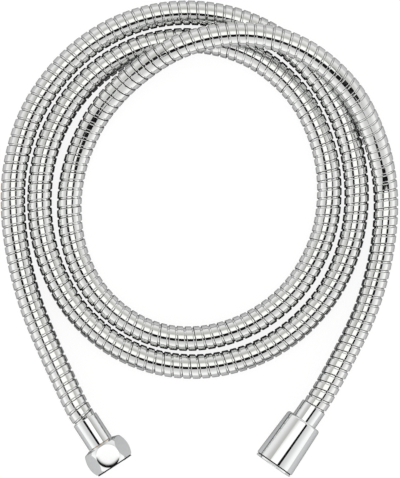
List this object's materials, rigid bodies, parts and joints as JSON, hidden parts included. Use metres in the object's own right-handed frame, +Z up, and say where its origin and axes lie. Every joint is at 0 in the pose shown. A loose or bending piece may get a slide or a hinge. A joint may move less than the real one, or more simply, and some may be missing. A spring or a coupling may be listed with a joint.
{
  "type": "shower hose",
  "caption": "Flexible spiral-wound metal shower hose in a loose coil, with a hexagonal swivel nut at one end and a conical one at the other.",
  "frame": {"origin": "middle of the coiled hose's plan, on the floor that it lies on", "axes": "+Z up from the floor, +Y from the two nuts towards the far side of the coil, +X to the right with the hexagonal nut on the left"},
  "size_m": [0.2584, 0.309, 0.0336],
  "materials": {
    "steel_spiral": "polished stainless steel strip",
    "inner_tube": "pale matt rubber",
    "hex_end_ferrule": "polished chrome plate",
    "hex_end_tail": "turned brass",
    "hex_nut": "polished chrome plate",
    "hex_nut_washer": "black matt rubber",
    "cone_end_ferrule": "polished chrome plate",
    "cone_end_tail": "turned brass",
    "cone_nut": "polished chrome plate",
    "cone_nut_washer": "black matt rubber"
  },
  "bodies": {
    "hose": {"steel_spiral": "steel_spiral", "inner_tube": "inner_tube", "hex_end_ferrule": "hex_end_ferrule", "hex_end_tail": "hex_end_tail", "cone_end_ferrule": "cone_end_ferrule", "cone_end_tail": "cone_end_tail"},
    "hex_swivel_nut": {"hex_nut": "hex_nut", "hex_nut_washer": "hex_nut_washer"},
    "cone_swivel_nut": {"cone_nut": "cone_nut", "cone_nut_washer": "cone_nut_washer"}
  },
  "joints": [
    {"name": "hex_nut_swivel", "type": "hinge", "parent": "hose", "child": "hex_swivel_nut", "pos_m": [-0.0644, -0.13312, 0.013], "axis": [0.5446, -0.8387, 0], "continuous": true},
    {"name": "cone_nut_swivel", "type": "hinge", "parent": "hose", "child": "cone_swivel_nut", "pos_m": [0.06758, -0.11817, 0.01219], "axis": [-0.5731, -0.8185, 0.0394], "continuous": true}
  ]
}
